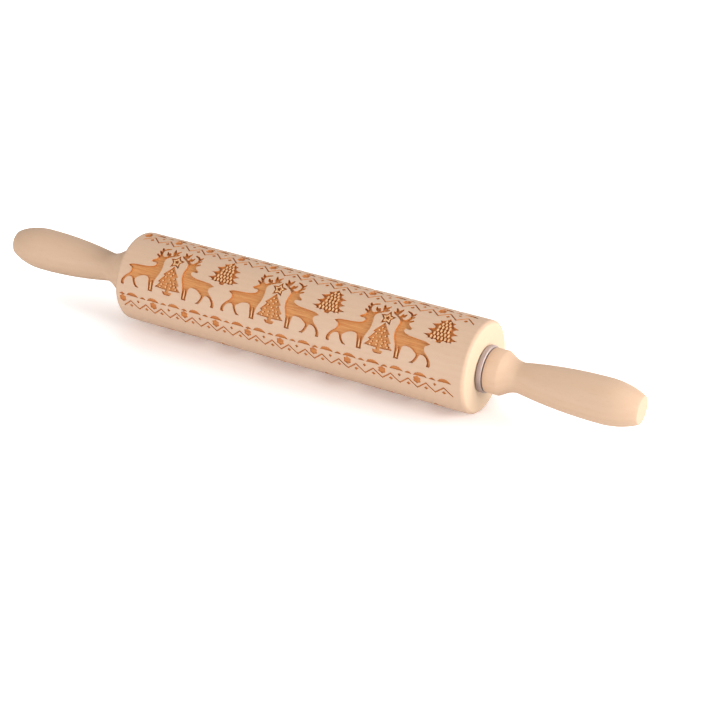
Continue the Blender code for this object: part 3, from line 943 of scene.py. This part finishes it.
def handle_profile():
    """The outside from the collar to the end flat, then the socket for insert and rod."""
    neck = handle_length * neck_place_share
    grip = handle_length * grip_place_share
    points = arc_of((collar_edge_radius, collar_radius - collar_edge_radius),
                    collar_edge_radius, 180, 90, collar_edge_steps)
    for i in range(neck_steps):
        share = i / neck_steps
        points.append((collar_length + (neck - collar_length) * share,
                       collar_radius + (neck_radius - collar_radius) * ease(share ** neck_draw_share)))
    for i in range(grip_steps):
        share = i / grip_steps
        points.append((neck + (grip - neck) * share,
                       neck_radius + (grip_radius - neck_radius) * ease(share ** grip_swell_share)))
    for i in range(end_steps + 1):
        share = math.sin(math.pi / 2 * i / end_steps)
        points.append((grip + (handle_length - grip) * share,
                       end_flat_radius + (grip_radius - end_flat_radius)
                       * (1 - share * share) ** end_round_share))
    outside = [(handle_start + place, radius) for place, radius in points]
    socket = insert_radius + seat_gap
    socket_end = insert_end + seat_gap
    bore = rod_radius + seat_gap
    bore_end = rod_end + seat_gap
    return outside + [(handle_end, end_flat_radius * 0.5), (handle_end, 0.0), (bore_end, 0.0),
                      (bore_end, bore), (socket_end, bore), (socket_end, socket),
                      (handle_start, socket)]


for side, word in ((-1, "left"), (1, "right")):
    handle = lathe(word + "_turned_handle", handle_profile(), side, handle_beech, 30)
    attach(handle, "handle_set")
    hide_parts(word + "_handle")
print(f"handles {1000 * handle_length:.1f} mm long, {2000 * grip_radius:.1f} mm at the grip")

# %% [markdown]
# Metals
#
# Steel and brass reflect instead of scattering light, so they are fully metallic, their colour
# is the colour of the reflection, and roughness is what tells them apart: polished balls,
# ground races, a satin ring. A turned surface keeps the fine circles that the tool left, which
# blur a highlight along one direction. They are drawn here as a noise drawn out round the axis.

# %% Make the metal finishes
tool_mark_pitch = 0.00012
tool_mark_depth = 0.00003
marks_per_radian = 0.8


def turned_metal(name, colour, shade, roughness, mark_strength):
    """Metal with tool marks that run round the pin's axis."""
    material, tree, shader = new_material(name)
    place = add(tree, "ShaderNodeTexCoord").outputs["Object"]
    parts = add(tree, "ShaderNodeSeparateXYZ", {0: add(tree, "ShaderNodeVectorMath", {
        0: place, 1: (0.0, 0.0, -axis_height)}).outputs["Vector"]})
    out = add(tree, "ShaderNodeMath", {0: parts.outputs["Y"], 1: parts.outputs["Z"]},
              operation="ARCTAN2").outputs[0]
    height = add(tree, "ShaderNodeVectorMath", {0: add(tree, "ShaderNodeCombineXYZ", {
        "Y": parts.outputs["Y"], "Z": parts.outputs["Z"]}).outputs[0]}, operation="LENGTH")
    flat = add(tree, "ShaderNodeCombineXYZ", {
        "X": scaled(tree, parts.outputs["X"], 1 / tool_mark_pitch),
        "Y": scaled(tree, height.outputs["Value"], 1 / tool_mark_pitch),
        "Z": scaled(tree, out, marks_per_radian)}).outputs[0]
    marks = add(tree, "ShaderNodeTexNoise", {"Vector": flat, "Scale": 1.0, "Detail": 1.0})
    colour_out = blend(tree, marks.outputs["Fac"], linear(colour), linear(shade))
    bump = add(tree, "ShaderNodeBump", {
        "Height": marks.outputs["Fac"], "Strength": mark_strength,
        "Distance": tool_mark_depth})
    tree.links.new(colour_out, shader.inputs["Base Color"])
    tree.links.new(bump.outputs["Normal"], shader.inputs["Normal"])
    shader.inputs["Metallic"].default_value = 1.0
    shader.inputs["Roughness"].default_value = roughness
    return material


# The satin steel's pinkish grey is partly a painted reflection of the beech round the ring, on top of the
# steel's own grey.
satin_steel = turned_metal("satin_steel", "#BDAFAA", "#A69894", 0.66, 0.4)
ground_steel = turned_metal("ground_steel", "#C4C4C6", "#ABABAE", 0.24, 0.3)
polished_steel = turned_metal("polished_steel", "#D2D2D5", "#C6C6CA", 0.08, 0.05)
stamped_steel = turned_metal("stamped_steel", "#B9B9BC", "#A2A2A6", 0.34, 0.2)
spring_steel = turned_metal("blackened_spring_steel", "#5C5C60", "#47474B", 0.42, 0.2)
cage_brass = turned_metal("stamped_brass", "#D8BE82", "#C6A868", 0.33, 0.2)
insert_brass = turned_metal("turned_brass", "#DDB56A", "#C99C4E", 0.28, 0.4)
print("tool marks", 1000 * tool_mark_pitch, "mm apart")

# %% [markdown]
# The end rings
#
# A steel ring sits between the barrel and each handle, clamped with the bearing's inner race by
# the rod, so it turns with the handles. It is a plain turned washer with a rounded rim, and its
# narrow boss reaches into the barrel's end to press on the race. The rim is what shows, so its
# two corners get a small round, which draws a thin bright line round the ring.

# %% Turn the two end rings
rim_radius = 0.0005
rim_steps = 8
boss_wall = 0.0013
bore_bevel = 0.0002
ring_back = barrel_half + seat_gap
boss_radius = rod_radius + seat_gap + boss_wall


def end_ring_profile():
    """The boss, the disc with its rounded rim, and a small bevel where the rod comes out."""
    top = ring_radius - rim_radius
    bore = rod_radius + seat_gap
    return ([(ring_start, bore), (ring_start, boss_radius), (ring_back, boss_radius)]
            + arc_of((ring_back + rim_radius, top), rim_radius, 180, 90, rim_steps)
            + arc_of((ring_end - rim_radius, top), rim_radius, 90, 0, rim_steps)
            + [(ring_end, bore + bore_bevel), (ring_end - bore_bevel, bore)])


for side, word in ((-1, "left"), (1, "right")):
    ring = lathe(word + "_satin_ring", end_ring_profile(), side, satin_steel, 40)
    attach(ring, "handle_set")
    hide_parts(word + "_end_ring")
print(f"rings {2000 * ring_radius:.1f} mm across and {1000 * (ring_end - ring_back):.1f} mm thick")

# %% [markdown]
# Pieces inside the barrel
#
# The rod, bearings, clips and inserts don't show until the pin is taken apart. Their solids
# already have the right shape, so they stay, and only get the metal that each is made of.

# %% Dress the hidden pieces
finishes = {"axle_rod": ground_steel, "race": ground_steel, "ball": polished_steel,
            "cage": cage_brass, "shield": stamped_steel, "clip": spring_steel,
            "insert": insert_brass}
dressed = 0
for node_name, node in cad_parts.items():
    for word, finish in finishes.items():
        if word in node_name:
            node.data.materials.clear()
            node.data.materials.append(finish)
            dressed += 1
print(dressed, "hidden pieces dressed")

# %% [markdown]
# Floor, light and background
#
# The pin lies on a white table, with soft light from the right, from above and from the front.
# The lit table is as white as its paper, and only the shadow under the barrel shows, with a
# pinkish tint. So the floor is plain and pale, and glows a little, but only to the camera,
# through the Light Path node. The wood gets no extra light from it. Near the pin the glow is
# weak and pinkish: a painted light that lifts the shadow and paints part of its pink tint, the
# rest being real light bounced off the wood. Away from the pin the glow rises, a painted light
# that washes out the handles' shadows, so that the table ends in a white background.

# %% Lay the floor and light the scene
floor_reach = 3.0
floor_drop = 0.0001
floor_material, floor_tree, floor_shader = new_material("white_table")
floor_shader.inputs["Base Color"].default_value = linear("#FAF9FA")
floor_shader.inputs["Roughness"].default_value = 0.8
floor_shader.inputs["Specular IOR Level"].default_value = 0.2
# Painted light: near the pin the glow is weak and pinkish, which lifts the barrel's shadow and tints it
# pink; away from the pin it turns white, which washes out the handles' shadows.
painted_shadow_tint_glow = (0.22, 0.17, 0.15, 1.0)
far_glow = (0.8, 0.8, 0.8, 1.0)
glow_start = 0.06
glow_end = 0.125
floor_place = add(floor_tree, "ShaderNodeTexCoord").outputs["Object"]
from_pin = add(floor_tree, "ShaderNodeVectorMath", {0: add(floor_tree, "ShaderNodeMapping", {
    "Vector": floor_place, "Scale": (0.68, 1.0, 1.0)}).outputs["Vector"]}, operation="LENGTH")
away = add(floor_tree, "ShaderNodeMapRange", {
    "Value": from_pin.outputs["Value"], "From Min": glow_start, "From Max": glow_end})
glow = blend(floor_tree, away.outputs["Result"], painted_shadow_tint_glow, far_glow)
path = add(floor_tree, "ShaderNodeLightPath")
floor_tree.links.new(glow, floor_shader.inputs["Emission Color"])
floor_tree.links.new(path.outputs["Is Camera Ray"], floor_shader.inputs["Emission Strength"])
floor_mesh = bpy.data.meshes.new("floor")
floor_mesh.from_pydata([(-floor_reach, -floor_reach, 0.0), (floor_reach, -floor_reach, 0.0),
                        (floor_reach, floor_reach, 0.0), (-floor_reach, floor_reach, 0.0)],
                       [], [(0, 1, 2, 3)])
floor_mesh.materials.append(floor_material)
floor = bpy.data.objects.new("floor", floor_mesh)
floor.location.z = -floor_drop
bpy.context.scene.collection.objects.link(floor)

world = bpy.data.worlds.new("white_room")
bpy.context.scene.world = world
world.use_nodes = True
world_tree = world.node_tree
backdrop = world_tree.nodes["Background"]
ray = add(world_tree, "ShaderNodeLightPath")
seen = add(world_tree, "ShaderNodeMath", {0: ray.outputs["Is Camera Ray"],
                                          1: ray.outputs["Is Glossy Ray"]}, operation="MAXIMUM")
room_light = 0.35
lift = add(world_tree, "ShaderNodeMapRange", {
    "Value": seen.outputs[0], "To Min": room_light, "To Max": 1.0})
world_tree.links.new(lift.outputs["Result"], backdrop.inputs["Strength"])
backdrop.inputs["Color"].default_value = (1.0, 1.0, 1.0, 1.0)


def soft_box(name, place, aim, size, power, colour):
    """A square area lamp at a place, turned towards what it lights."""
    data = bpy.data.lights.new(name, "AREA")
    data.size = size
    data.energy = power
    data.color = linear(colour)[:3]
    lamp = bpy.data.objects.new(name, data)
    lamp.location = place
    lamp.rotation_euler = (Vector(aim) - Vector(place)).to_track_quat("-Z", "Y").to_euler()
    bpy.context.scene.collection.objects.link(lamp)


pin_middle = (0.0, 0.0, axis_height)
soft_box("right_soft_box", (1.14, 0.05, 0.42), pin_middle, 0.8, 20.5, "#FFFFFF")
soft_box("top_soft_box", (-0.1, 0.55, 1.2), pin_middle, 1.0, 5.0, "#FFFFFF")
soft_box("front_soft_box", (-0.25, -1.1, 0.26), pin_middle, 0.45, 8.0, "#FFFFFF")
bpy.context.scene.view_settings.view_transform = "Standard"
print("room light", room_light)
